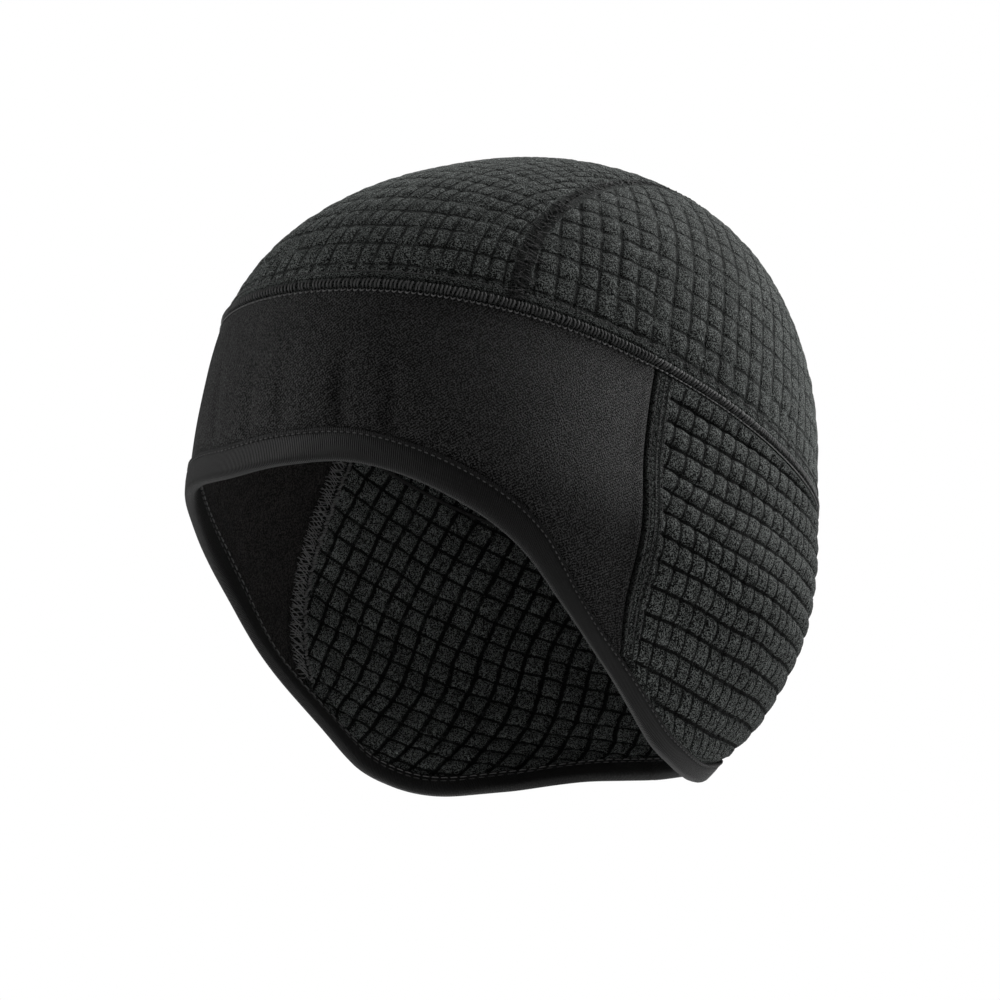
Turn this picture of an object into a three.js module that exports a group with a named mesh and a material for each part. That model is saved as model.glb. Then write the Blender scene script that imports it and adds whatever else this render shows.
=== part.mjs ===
// A thin skull cap worn under a helmet: a crown of three fleece panels, a smooth jersey forehead band,
// one fleece panel that runs over both ears and round the nape, and a tape folded over the bottom edge.
// Millimetres, +Z up. The wearer faces -Y, the wearer's left is +X, and both sides are alike.
// The origin is the inside of the crown's pole, where the cap sits on the head.
//
// The skin is worked out in the cap's own frame, whose zero height is the crown seam, which runs all round
// between the crown and the pieces below it. The finished cap is then tipped back, as it is worn.
// An angle goes round the head, 0 at the forehead and a right angle at the wearer's left ear.
// A turn goes down from the crown's pole, a right angle at zero height.

import * as THREE from "three";

// Overall sizes of the outer skin
const halfWidth = 80;
const frontReach = 110.5;
const backReach = 98;
const crownHeight = 90.5;
const crownLean = 15;
const deepestDrop = 100.5;
const tipBack = THREE.MathUtils.degToRad(13);

// Cloth walls, and how far the sewing presses them in
const fleeceWall = 2.4;
const jerseyWall = 1.6;
const pressedWall = 1.4;
const seamPinch = 0.5;
const pinchReach = 4;
const clearance = 0.3;

// Tape folded over the bottom edge
const tapeWidth = 8.5;
const tapeWall = 0.9;
const tapeProud = 0.5;
const tapeBevel = 1.2;

// Seams
const seamWave = 2.5;
const sideSeamTop = THREE.MathUtils.degToRad(78);
const sideSeamBottom = THREE.MathUtils.degToRad(79);
const sideSeamBow = THREE.MathUtils.degToRad(2.2);

// Level sections of the skin, down from the pole: shares of halfWidth, frontReach and backReach
const sections = [
  { turn: 0, side: 0, front: 0, back: 0 },
  { turn: 15, side: 0.228, front: 0.22, back: 0.241 },
  { turn: 30, side: 0.459, front: 0.425, back: 0.467 },
  { turn: 45, side: 0.652, front: 0.618, back: 0.671 },
  { turn: 60, side: 0.792, front: 0.803, back: 0.834 },
  { turn: 75, side: 0.866, front: 0.935, back: 0.947 },
  { turn: 90, side: 0.906, front: 0.995, back: 0.988 },
  { turn: 105, side: 0.957, front: 1, back: 1 },
  { turn: 120, side: 1, front: 0.968, back: 0.939 },
  { turn: 135, side: 0.934, front: 0.954, back: 0.834 },
  { turn: 155, side: 0.813, front: 0.565, back: 0.588 },
];

// Bottom edge, from the forehead round to the nape: its drop is a share of deepestDrop
const edge = [
  { angle: 0, drop: 0.503 },
  { angle: 15, drop: 0.485 },
  { angle: 30, drop: 0.472 },
  { angle: 45, drop: 0.518 },
  { angle: 60, drop: 0.622 },
  { angle: 75, drop: 0.825 },
  { angle: 90, drop: 0.959 },
  { angle: 105, drop: 1 },
  { angle: 120, drop: 1 },
  { angle: 140, drop: 0.945 },
  { angle: 160, drop: 0.878 },
  { angle: 180, drop: 0.871 },
];

// Seam between the crown's centre and side panels, from the forehead (0) over the top to the nape (180):
// lean is the sine of how far it leans out sideways from the middle
const panelSeam = [
  { over: 0, lean: 0.8 },
  { over: 45, lean: 0.7 },
  { over: 90, lean: 0.5 },
  { over: 135, lean: 0.39 },
  { over: 180, lean: 0.3 },
];

// Mesh steps
const centreSteps = { across: 12, along: 24 };
const crownSideSteps = { along: 22, rise: 9 };
const dropSteps = 7;
const bandSteps = 26;
const napeSteps = 48;

const quarterTurn = Math.PI / 2;
const halfTurn = Math.PI;
const smallStep = 0.01;
const lerp = THREE.MathUtils.lerp;

// Smooth curve through a column of a table. The table carries on past both ends: turned over at its start
// where way is -1, and mirrored elsewhere.
function tableCurve(table, key, column, way = 1) {
  const [last, beforeLast] = [table[table.length - 1], table[table.length - 2]];
  const knots = [-table[1][key], ...table.map((row) => row[key]), 2 * last[key] - beforeLast[key]];
  const values = [way * table[1][column], ...table.map((row) => row[column]), beforeLast[column]];
  const chord = (k) => (values[k + 1] - values[k]) / (knots[k + 1] - knots[k]);
  const slope = (k) => (chord(k - 1) + chord(k)) / 2;
  return (at) => {
    let k = 1;
    while (k < table.length - 1 && knots[k + 1] <= at) k++;
    const step = knots[k + 1] - knots[k];
    const t = (at - knots[k]) / step;
    const blend = t * t * (3 - 2 * t);
    const bend = t * (1 - t) * step * ((1 - t) * slope(k) - t * slope(k + 1));
    return lerp(values[k], values[k + 1], blend) + bend;
  };
}

const sideShare = tableCurve(sections, "turn", "side", -1);
const frontShare = tableCurve(sections, "turn", "front", -1);
const backShare = tableCurve(sections, "turn", "back", -1);
const dropShare = tableCurve(edge, "angle", "drop");
const panelSeamLean = tableCurve(panelSeam, "over", "lean");

// Outer skin at an angle and a turn
function skin(angle, turn) {
  const height = turn < quarterTurn ? crownHeight * Math.cos(turn) : crownHeight * (quarterTurn - turn);
  const at = THREE.MathUtils.radToDeg(turn);
  const width = halfWidth * sideShare(at);
  const reach = Math.cos(angle) > 0 ? frontReach * frontShare(at) : backReach * backShare(at);
  const middle = crownLean * Math.max(height / crownHeight, 0) ** 2;
  return new THREE.Vector3(width * Math.sin(angle), middle - reach * Math.cos(angle), height);
}

function turnOf(height) {
  return height > 0 ? Math.acos(height / crownHeight) : quarterTurn - height / crownHeight;
}

// Outward normal of the skin, from two short steps along it
function normal(angle, turn) {
  if (turn < smallStep) return new THREE.Vector3(0, 0, 1);
  const round = skin(angle + smallStep, turn).sub(skin(angle - smallStep, turn));
  const down = skin(angle, turn + smallStep).sub(skin(angle, turn - smallStep));
  return down.cross(round).normalize();
}

// Point at a depth under the outer skin
function under({ angle, turn }, depth) {
  return skin(angle, turn).addScaledVector(normal(angle, turn), -depth);
}

// Heights of the crown seam and of the bottom edge
function seamHeight(angle) {
  return seamWave * (Math.cos(angle) - Math.cos(3 * angle));
}

function edgeHeight(angle) {
  const fromForehead = Math.abs(Math.atan2(Math.sin(angle), Math.cos(angle)));
  return -deepestDrop * dropShare(THREE.MathUtils.radToDeg(fromForehead));
}

// Height at a distance in from the bottom edge, measured square to the edge
function heightInFromEdge(angle, distance) {
  const [before, after] = [angle - smallStep, angle + smallStep].map((a) => skin(a, turnOf(edgeHeight(a))));
  const run = Math.hypot(after.x - before.x, after.y - before.y);
  const rise = after.z - before.z;
  return edgeHeight(angle) + distance * Math.hypot(1, rise / run);
}

// Geometry of a closed solid, its faces turned outwards
function closedGeometry(corners, faces) {
  let volume = 0;
  for (let k = 0; k < faces.length; k += 3) {
    const [a, b, c] = faces.slice(k, k + 3).map((corner) => corners[corner]);
    volume += a.dot(b.clone().cross(c));
  }
  const geometry = new THREE.BufferGeometry().setFromPoints(corners);
  geometry.setIndex(volume > 0 ? faces : faces.reverse());
  geometry.computeVertexNormals();
  return geometry;
}

// Closed solid of cloth between two faces on one grid: corner(i, j, face) has face 0 outside and 1 inside
function clothGeometry(columns, rows, cornerAt) {
  const corners = [];
  const faces = [];
  for (let i = 0; i < columns; i++) {
    for (let j = 0; j < rows; j++) corners.push(cornerAt(i, j, 0), cornerAt(i, j, 1));
  }
  const corner = (i, j, face) => 2 * (i * rows + j) + face;
  const quad = (a, b, c, d) => faces.push(a, b, c, a, c, d);
  for (let i = 0; i + 1 < columns; i++) {
    for (let j = 0; j + 1 < rows; j++) {
      quad(corner(i, j, 0), corner(i + 1, j, 0), corner(i + 1, j + 1, 0), corner(i, j + 1, 0));
      quad(corner(i, j, 1), corner(i, j + 1, 1), corner(i + 1, j + 1, 1), corner(i + 1, j, 1));
    }
    quad(corner(i, 0, 1), corner(i + 1, 0, 1), corner(i + 1, 0, 0), corner(i, 0, 0));
    quad(corner(i, rows - 1, 0), corner(i + 1, rows - 1, 0), corner(i + 1, rows - 1, 1), corner(i, rows - 1, 1));
  }
  for (let j = 0; j + 1 < rows; j++) {
    const end = columns - 1;
    quad(corner(0, j, 0), corner(0, j + 1, 0), corner(0, j + 1, 1), corner(0, j, 1));
    quad(corner(end, j, 1), corner(end, j + 1, 1), corner(end, j + 1, 0), corner(end, j, 0));
  }
  return closedGeometry(corners, faces);
}

// Even shares of a length from 0 to 1, with one more a pinch's reach in from each end
function pinchedShares(length, steps) {
  const near = pinchReach / length;
  const shares = Array.from({ length: steps + 1 }, (_, k) => lerp(near, 1 - near, k / steps));
  return [0, ...shares, 1];
}

// Depths of a panel's two faces: at a seam both are pinched towards each other
function faceDepth(face, wall, pinched) {
  if (face === 0) return pinched ? seamPinch : 0;
  return pinched ? wall - seamPinch / 2 : wall;
}

// Crown spot for a heading, whose level headings land on the crown seam. The power keeps the seam's waves low down.
const seamFade = 4;
function crownSpot(heading) {
  const angle = Math.atan2(heading.x, -heading.y);
  const plain = Math.acos(heading.z / heading.length());
  const seamTurn = turnOf(seamHeight(angle));
  return { angle, turn: plain + (seamTurn - quarterTurn) * Math.sin(plain) ** seamFade };
}

const seamGap = clearance / 2 / crownHeight;
const panelGap = clearance / 2 / halfWidth;

// Heading of a spot of the crown: lean is its sine out sideways, over its angle from forehead to nape
function leaningHeading(lean, over) {
  const upright = Math.sqrt(1 - lean * lean);
  const start = Math.asin(seamGap / upright);
  const kept = THREE.MathUtils.clamp(over, start, halfTurn - start);
  return new THREE.Vector3(lean, -upright * Math.cos(kept), upright * Math.sin(kept));
}

function panelSeamHeading(over, gap) {
  return leaningHeading(panelSeamLean(THREE.MathUtils.radToDeg(over)) + gap, over);
}

function crownCentrePanel() {
  const across = pinchedShares(halfWidth, centreSteps.across);
  const along = pinchedShares(halfTurn * crownHeight, centreSteps.along);
  return clothGeometry(across.length, along.length, (i, j, face) => {
    const over = halfTurn * along[j];
    const seamLean = panelSeamLean(THREE.MathUtils.radToDeg(over)) - panelGap;
    const lean = seamLean * (2 * across[i] - 1);
    const pinched = across[i] % 1 === 0 || along[j] % 1 === 0;
    return under(crownSpot(leaningHeading(lean, over)), faceDepth(face, fleeceWall, pinched));
  });
}

const upTo = THREE.MathUtils.degToRad(50);

// Side panel of the crown, on the wearer's left or, with side -1, right. Its four borders are the crown seam and
// three stretches of the panel seam: up from the forehead, over the ear, and down to the nape.
function crownSidePanel(side) {
  const alongShares = pinchedShares(halfTurn * crownHeight / 2, crownSideSteps.along);
  const riseShares = pinchedShares(crownHeight, crownSideSteps.rise);
  const downFrom = halfTurn - upTo;
  const foreCorner = panelSeamHeading(0, panelGap);
  const rearCorner = panelSeamHeading(halfTurn, panelGap);
  const angles = [foreCorner, rearCorner].map((heading) => Math.atan2(heading.x, -heading.y));
  const bottom = (u) => {
    const angle = lerp(...angles, u);
    return new THREE.Vector3(Math.sin(angle), -Math.cos(angle), seamGap);
  };
  const top = (u) => panelSeamHeading(lerp(upTo, downFrom, u), panelGap);
  const fore = (v) => panelSeamHeading(lerp(0, upTo, v), panelGap);
  const rear = (v) => panelSeamHeading(lerp(halfTurn, downFrom, v), panelGap);
  const blend = (a, b, share) => a.clone().lerp(b, share);
  return clothGeometry(alongShares.length, riseShares.length, (i, j, face) => {
    const [u, v] = [alongShares[i], riseShares[j]];
    const upright = blend(bottom(u), top(u), v);
    const sideways = blend(fore(v), rear(v), u);
    const corners = blend(blend(bottom(0), bottom(1), u), blend(top(0), top(1), u), v);
    const heading = upright.add(sideways).sub(corners);
    heading.x *= side;
    const pinched = u % 1 === 0 || v % 1 === 0;
    return under(crownSpot(heading), faceDepth(face, fleeceWall, pinched));
  });
}

// Rows of the panels below the crown seam: fall is the share of the way down, and the last two rows are
// pressed flat inside the tape
const tapeMouth = tapeWidth + pinchReach;
const lowerRows = [
  { fall: 0, height: (angle) => seamHeight(angle) - clearance / 2, pinched: true },
  ...Array.from({ length: dropSteps + 1 }, (_, k) => ({
    fall: k / dropSteps,
    height: (angle) => lerp(seamHeight(angle) - pinchReach, heightInFromEdge(angle, tapeMouth), k / dropSteps),
  })),
  { fall: 1, height: (angle) => heightInFromEdge(angle, tapeWidth), pressed: true },
  { fall: 1, height: (angle) => heightInFromEdge(angle, tapeWall + clearance), pressed: true },
];

// Side seam's angle at a share of the way down: it bows forwards in the middle
function sideSeam(fall) {
  return lerp(sideSeamTop, sideSeamBottom, fall) - sideSeamBow * Math.sin(Math.PI * fall);
}

// Panels below the crown seam: their side borders have an angle at each share of the way down
const forehead = {
  start: (fall) => panelGap - sideSeam(fall),
  end: (fall) => sideSeam(fall) - panelGap,
  wall: jerseyWall,
  steps: bandSteps,
};
const earsAndNape = {
  start: (fall) => sideSeam(fall) + panelGap,
  end: (fall) => 2 * halfTurn - sideSeam(fall) - panelGap,
  wall: fleeceWall,
  steps: napeSteps,
};

function columnShares({ start, end, steps }) {
  return pinchedShares((end(0) - start(0)) * halfWidth, steps);
}

function columnAngle({ start, end }, share, fall) {
  return lerp(start(fall), end(fall), share);
}

function lowerPanel(panel) {
  const shares = columnShares(panel);
  const pressedDepth = tapeWall - tapeProud + clearance;
  return clothGeometry(shares.length, lowerRows.length, (i, j, face) => {
    const row = lowerRows[j];
    const angle = columnAngle(panel, shares[i], row.fall);
    const pinched = row.pinched || shares[i] % 1 === 0;
    const depth = row.pressed ? pressedDepth + face * pressedWall : faceDepth(face, panel.wall, pinched);
    return under({ angle, turn: turnOf(row.height(angle)) }, depth);
  });
}

// Tape's section, round from the top of its outer leg: up is the distance in from the edge
const innerLeg = tapeWall - tapeProud + pressedWall + 2 * clearance;
const tapeSection = [
  { up: tapeWidth, depth: -tapeProud },
  { up: tapeBevel, depth: -tapeProud },
  { up: 0, depth: tapeBevel - tapeProud },
  { up: 0, depth: innerLeg + tapeWall - tapeBevel },
  { up: tapeBevel, depth: innerLeg + tapeWall },
  { up: tapeWidth, depth: innerLeg + tapeWall },
  { up: tapeWidth, depth: innerLeg },
  { up: tapeWall, depth: innerLeg },
  { up: tapeWall, depth: tapeWall - tapeProud },
  { up: tapeWidth, depth: tapeWall - tapeProud },
];

// The tape turns at the same angles as the cloth inside it, and its faces are cut the same way across
function edgeBinding() {
  const corners = [];
  const faces = [];
  const count = tapeSection.length;
  const bandAngles = columnShares(forehead).map((share) => columnAngle(forehead, share, 1));
  const napeAngles = columnShares(earsAndNape).map((share) => columnAngle(earsAndNape, share, 1));
  const angles = [...bandAngles, ...napeAngles.slice(1, -1)];
  for (const angle of angles) {
    for (const { up, depth } of tapeSection) {
      corners.push(under({ angle, turn: turnOf(heightInFromEdge(angle, up)) }, depth));
    }
  }
  for (let i = 0; i < angles.length; i++) {
    const next = (i + 1) % angles.length;
    for (let j = 0; j < count; j++) {
      const beside = (j + 1) % count;
      const [a, b, c, d] = [i * count + j, next * count + j, next * count + beside, i * count + beside];
      const climbs = tapeSection[beside].up > tapeSection[j].up;
      faces.push(...(climbs ? [a, b, d, b, c, d] : [a, b, c, a, c, d]));
    }
  }
  return closedGeometry(corners, faces);
}

const fleece = new THREE.MeshStandardMaterial({ color: 0x2e3130, roughness: 0.95, metalness: 0 });
const jersey = new THREE.MeshStandardMaterial({ color: 0x1b1b1c, roughness: 0.7, metalness: 0 });
const tape = new THREE.MeshStandardMaterial({ color: 0x161617, roughness: 0.6, metalness: 0 });

function piece(name, geometry, material) {
  const mesh = new THREE.Mesh(geometry, material);
  mesh.name = name;
  return mesh;
}

const sewn = new THREE.Group();
sewn.add(piece("crown_centre_panel", crownCentrePanel(), fleece));
sewn.add(piece("crown_left_panel", crownSidePanel(1), fleece));
sewn.add(piece("crown_right_panel", crownSidePanel(-1), fleece));
sewn.add(piece("forehead_band", lowerPanel(forehead), jersey));
sewn.add(piece("ear_and_nape_panel", lowerPanel(earsAndNape), fleece));
sewn.add(piece("edge_binding", edgeBinding(), tape));
sewn.position.set(0, -crownLean, fleeceWall - crownHeight);

const cap = new THREE.Group();
cap.rotation.x = -tipBack;
cap.add(sewn);

export default cap;
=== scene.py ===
"""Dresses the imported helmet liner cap: waffle fleece, jersey, ribbed tape, seams and their threads.

Metres, in the row's frame. The skin is worked out as in the part: an angle goes round the head, 0 at the
forehead and a right angle at the wearer's left ear, and a turn goes down from the crown's pole.
"""

import bpy
import numpy as np
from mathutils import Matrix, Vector


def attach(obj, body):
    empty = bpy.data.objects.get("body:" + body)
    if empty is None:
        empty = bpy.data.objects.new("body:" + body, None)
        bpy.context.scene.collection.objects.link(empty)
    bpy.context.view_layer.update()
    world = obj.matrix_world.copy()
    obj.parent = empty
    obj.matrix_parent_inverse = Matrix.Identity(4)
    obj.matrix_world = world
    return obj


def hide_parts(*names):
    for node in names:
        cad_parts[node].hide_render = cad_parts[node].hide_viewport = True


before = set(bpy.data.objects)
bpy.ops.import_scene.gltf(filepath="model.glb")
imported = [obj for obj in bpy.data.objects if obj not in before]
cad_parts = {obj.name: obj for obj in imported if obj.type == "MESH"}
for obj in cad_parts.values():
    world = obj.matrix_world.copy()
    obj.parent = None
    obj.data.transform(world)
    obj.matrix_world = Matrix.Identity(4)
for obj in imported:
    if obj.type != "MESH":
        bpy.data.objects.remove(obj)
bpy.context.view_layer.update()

MM = 0.001
TAU = 2 * np.pi

# Overall sizes of the outer skin, as in the part
HALF_WIDTH = 80 * MM
FRONT_REACH = 110.5 * MM
BACK_REACH = 98 * MM
CROWN_HEIGHT = 90.5 * MM
CROWN_LEAN = 15 * MM
DEEPEST_DROP = 100.5 * MM
TIP_BACK = np.radians(13)

# Cloth walls and the tape
FLEECE_WALL = 2.4 * MM
JERSEY_WALL = 1.6 * MM
PRESSED_WALL = 1.4 * MM
CLEARANCE = 0.3 * MM
TAPE_WIDTH = 8.5 * MM
TAPE_WALL = 0.9 * MM
TAPE_PROUD = 0.5 * MM

# Seams
SEAM_WAVE = 2.5 * MM
SEAM_FADE = 4
SIDE_SEAM_TOP = np.radians(78)
SIDE_SEAM_BOTTOM = np.radians(79)
SIDE_SEAM_BOW = np.radians(2.2)
UP_TO = np.radians(50)

# Level sections: turn, then shares of half width, front reach and back reach
SECTIONS = np.array([
    (0, 0, 0, 0),
    (15, 0.228, 0.22, 0.241),
    (30, 0.459, 0.425, 0.467),
    (45, 0.652, 0.618, 0.671),
    (60, 0.792, 0.803, 0.834),
    (75, 0.866, 0.935, 0.947),
    (90, 0.906, 0.995, 0.988),
    (105, 0.957, 1, 1),
    (120, 1, 0.968, 0.939),
    (135, 0.934, 0.954, 0.834),
    (155, 0.813, 0.565, 0.588),
])

# Bottom edge: angle from the forehead, share of the deepest drop
EDGE = np.array([
    (0, 0.503),
    (15, 0.485),
    (30, 0.472),
    (45, 0.518),
    (60, 0.622),
    (75, 0.825),
    (90, 0.959),
    (105, 1),
    (120, 1),
    (140, 0.945),
    (160, 0.878),
    (180, 0.871),
])

# Seam between the crown's panels: angle over the top, sine of its lean out sideways
PANEL_SEAM = np.array([
    (0, 0.8),
    (45, 0.7),
    (90, 0.5),
    (135, 0.39),
    (180, 0.3),
])

# Mesh steps: plain and beside a seam, and how far the finer ones reach
STEP = 1.0 * MM
FINE_STEP = 0.4 * MM
FINE_REACH = 7 * MM

# Rough size across and along each piece's grid, from which its steps are counted
CENTRE_SIZE = (100 * MM, 270 * MM)
SIDE_SIZE = (150 * MM, 92 * MM)
EAR_SIZE = (410 * MM, 92 * MM)
BAND_SIZE = (235 * MM, 75 * MM)

# Short angle for slopes taken along the skin, and the legs that a length along it is measured in
PROBE = 0.01
LEGS = 8

# Tape's width in view: share lost at the ear lobes and share won back at the nape, and from where to where
LOBE_LOSS = 0.34
LOBE_REACH = np.radians((48, 78))
NAPE_GAIN = 0.14
NAPE_REACH = np.radians((110, 165))

# Waffle fleece: the pattern's own cell, then each piece's cells round the head and upwards
CELL = (6 * MM, 7 * MM)
CENTRE_CELL = (4.75 * MM, 8.2 * MM)
SIDE_CELL = (6.25 * MM, 7.4 * MM)
EAR_CELL = (5.7 * MM, 7 * MM)
INSIDE_CELL = (7.5 * MM, 7.2 * MM)

# Depths of the lines that part the cells round the head, and of those that part them upwards
EAR_LINES = (0.45 * MM, 1.0 * MM)
CROWN_LINES = (0.5 * MM, 0.35 * MM)
INSIDE_LINES = (0.8 * MM, 0.6 * MM)

# Waffle lines: share of the depth that is a narrow groove, and its half width. The rest is a round hollow.
GROOVE_SHARE = 0.65
GROOVE_WIDTH = 0.6 * MM

# Seam strips: widths beside the side seams, on each side of a panel seam, and above the crown seam in front
SIDE_STRIP = 5.2 * MM
PANEL_STRIP = 2.4 * MM
CROWN_STRIP = 5.6 * MM
CROWN_STRIP_NARROWS = 3 * MM

# Knots of the random fields on each side, and where in them the pieces' coordinates start
KNOTS = 128
KNOTS_START = 40.5

# Threads: sides of their section, and how thick their ends are
THREAD_SIDES = 6
THREAD_END = 0.55


def table_curve(table, column, way=1):
    """Smooth curve through a column of a table, carried on past both ends as in the part."""
    knots, values = table[:, 0], table[:, column]
    knots = np.concatenate([[-knots[1]], knots, [2 * knots[-1] - knots[-2]]])
    values = np.concatenate([[way * values[1]], values, [values[-2]]])
    chord = np.diff(values) / np.diff(knots)

    def curve(at):
        k = np.clip(np.searchsorted(knots, at, side="right") - 1, 1, len(knots) - 3)
        step = knots[k + 1] - knots[k]
        t = (at - knots[k]) / step
        blend = t * t * (3 - 2 * t)
        start, end = (chord[k - 1] + chord[k]) / 2, (chord[k] + chord[k + 1]) / 2
        bend = t * (1 - t) * step * ((1 - t) * start - t * end)
        return values[k] + (values[k + 1] - values[k]) * blend + bend

    return curve


side_share = table_curve(SECTIONS, 1, -1)
front_share = table_curve(SECTIONS, 2, -1)
back_share = table_curve(SECTIONS, 3, -1)
drop_share = table_curve(EDGE, 1)
seam_lean = table_curve(PANEL_SEAM, 1)


def skin(angle, turn):
    """Outer skin at angles and turns, in the cap's own frame."""
    angle, turn = np.broadcast_arrays(angle, turn)
    height = np.where(turn < np.pi / 2, CROWN_HEIGHT * np.cos(turn), CROWN_HEIGHT * (np.pi / 2 - turn))
    at = np.degrees(turn)
    front, back = FRONT_REACH * front_share(at), BACK_REACH * back_share(at)
    reach = np.where(np.cos(angle) > 0, front, back)
    middle = CROWN_LEAN * np.clip(height / CROWN_HEIGHT, 0, 1) ** 2
    x = HALF_WIDTH * side_share(at) * np.sin(angle)
    return np.stack([x, middle - reach * np.cos(angle), height], -1)


def turn_of(height):
    upper = np.arccos(np.clip(height / CROWN_HEIGHT, 0, 1))
    return np.where(height > 0, upper, np.pi / 2 - height / CROWN_HEIGHT)


def length(v):
    return np.linalg.norm(v, axis=-1)


def unit(v):
    return v / np.maximum(length(v), 1e-12)[..., None]


def normal(angle, turn):
    """Outward normal of the skin, from two short steps along it."""
    turn = np.maximum(turn, 2 * PROBE)
    across = skin(angle + PROBE, turn) - skin(angle - PROBE, turn)
    down = skin(angle, turn + PROBE) - skin(angle, turn - PROBE)
    return unit(np.cross(down, across))


def seam_height(angle):
    return SEAM_WAVE * (np.cos(angle) - np.cos(3 * angle))


def from_forehead(angle):
    """Angle from the forehead, on either side."""
    return np.abs(np.arctan2(np.sin(angle), np.cos(angle)))


def edge_height(angle):
    return -DEEPEST_DROP * drop_share(np.degrees(from_forehead(angle)))


def edge_stretch(angle):
    """How much height it takes to go in from the bottom edge, square to it."""
    before, after = [skin(a, turn_of(edge_height(a))) for a in (angle - PROBE, angle + PROBE)]
    run = np.hypot(after[..., 0] - before[..., 0], after[..., 1] - before[..., 1])
    return np.hypot(1, (after[..., 2] - before[..., 2]) / run)


def tape_share(angle):
    """Share of the tape's width that stays in view: at the ear lobes its edge is rolled in."""
    away = from_forehead(angle)
    return 1 - LOBE_LOSS * rise(away, *LOBE_REACH) + NAPE_GAIN * rise(away, *NAPE_REACH)


def turned(vectors):
    """Directions in the row's frame, which is tipped back against the cap's own."""
    cos, sin = np.cos(TIP_BACK), np.sin(TIP_BACK)
    x, y, z = vectors[..., 0], vectors[..., 1], vectors[..., 2]
    return np.stack([x, y * cos + z * sin, z * cos - y * sin], -1)


def to_row(points):
    """From the cap's own frame to the row's: seated on the head and tipped back."""
    return turned(points + np.array([0, -CROWN_LEAN, FLEECE_WALL - CROWN_HEIGHT]))


def lifted(angle, turn, lift):
    """Points in the row's frame, lifted off the outer skin."""
    return to_row(skin(angle, turn) + normal(angle, turn) * np.asarray(lift)[..., None])


def along(points, axis):
    """Running length of a grid of points along an axis, from 0."""
    steps = length(np.diff(points, axis=axis))
    return np.concatenate([np.zeros_like(np.take(steps, [0], axis)), np.cumsum(steps, axis=axis)], axis=axis)


def shares(size, step=STEP, fine_start=True, fine_end=True):
    """Shares from 0 to 1 of a size, with finer steps beside the ends that lie at a seam."""
    reach = [FINE_REACH if fine else 0 for fine in (fine_start, fine_end)]
    fine = [np.linspace(0, r, int(round(r / FINE_STEP)) + 1)[:-1] for r in reach]
    middle = np.linspace(reach[0], size - reach[1], int(round((size - sum(reach)) / step)) + 1)
    return np.concatenate([fine[0], middle, size - fine[1][::-1]]) / size


def field(u, v, size, seed):
    """Smooth random values from -1 to 1 over two coordinates."""
    knots = np.random.default_rng(seed).uniform(-1, 1, (KNOTS, KNOTS))
    u, v = u / size + KNOTS_START, v / size + KNOTS_START
    i, j = np.floor(u).astype(int), np.floor(v).astype(int)
    a, b = u - i, v - j
    a, b = a * a * (3 - 2 * a), b * b * (3 - 2 * b)
    k = [[knots[(i + m) % KNOTS, (j + n) % KNOTS] for n in (0, 1)] for m in (0, 1)]
    return (1 - a) * ((1 - b) * k[0][0] + b * k[0][1]) + a * ((1 - b) * k[1][0] + b * k[1][1])


def near(distance, reach):
    """1 at a line, falling smoothly to almost 0 at twice the reach."""
    return np.exp(-((distance / reach) ** 2))


def rise(distance, start, end):
    """0 before the start and 1 past the end, with a smooth change between them."""
    t = np.clip((distance - start) / (end - start), 0, 1)
    return t * t * (3 - 2 * t)


def line_distance(at, cell):
    return np.abs((at / cell + 0.5) % 1 - 0.5) * cell


def waffle(s, t, depths, seed):
    """Relief of the fleece, 0 on the cells and below 0 in the lines pressed between them."""
    relief = 0
    for at, cell, depth in zip((s, t), CELL, depths):
        d = line_distance(at, cell)
        hollow = np.cos(np.pi * d / cell) ** 2
        relief = relief - depth * (GROOVE_SHARE * near(d, GROOVE_WIDTH) + (1 - GROOVE_SHARE) * hollow)
    uneven = 1 + 0.35 * field(s, t, 9 * MM, seed)
    return relief * uneven + 0.14 * MM * field(s, t, 2.2 * MM, seed + 1)


def in_cells(s, t, cell):
    """Cloth coordinates that turn a piece's own cells into the pattern's."""
    return s * CELL[0] / cell[0], t * CELL[1] / cell[1]


def cloth(name, outer, inner, fabric, plain, materials):
    """Closed sheet of cloth between two faces on one grid. fabric holds each face's two cloth coordinates."""
    n, m = outer.shape[:2]
    index = np.arange(n * m).reshape(n, m)
    a, b, c, d = index[:-1, :-1], index[1:, :-1], index[1:, 1:], index[:-1, 1:]
    front = np.stack([a, b, c, d], -1).reshape(-1, 4)
    back = front[:, ::-1] + n * m
    border = np.concatenate([index[:-1, 0], index[-1, :-1], index[:0:-1, -1], index[0, :0:-1]])
    following = np.roll(border, -1)
    rim = np.stack([border + n * m, following + n * m, following, border], -1)
    faces = np.concatenate([front, back, rim])
    points = np.concatenate([outer.reshape(-1, 3), inner.reshape(-1, 3)])
    uv = np.concatenate([fabric[0].reshape(-1, 2), fabric[1].reshape(-1, 2)])
    slots = np.concatenate([np.zeros(len(front), int), np.ones(len(back) + len(rim), int)])
    flat = np.concatenate([np.ravel(plain[0]), np.ravel(plain[1])])
    return mesh_piece(name, points, faces, uv, flat, materials, slots)


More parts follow.
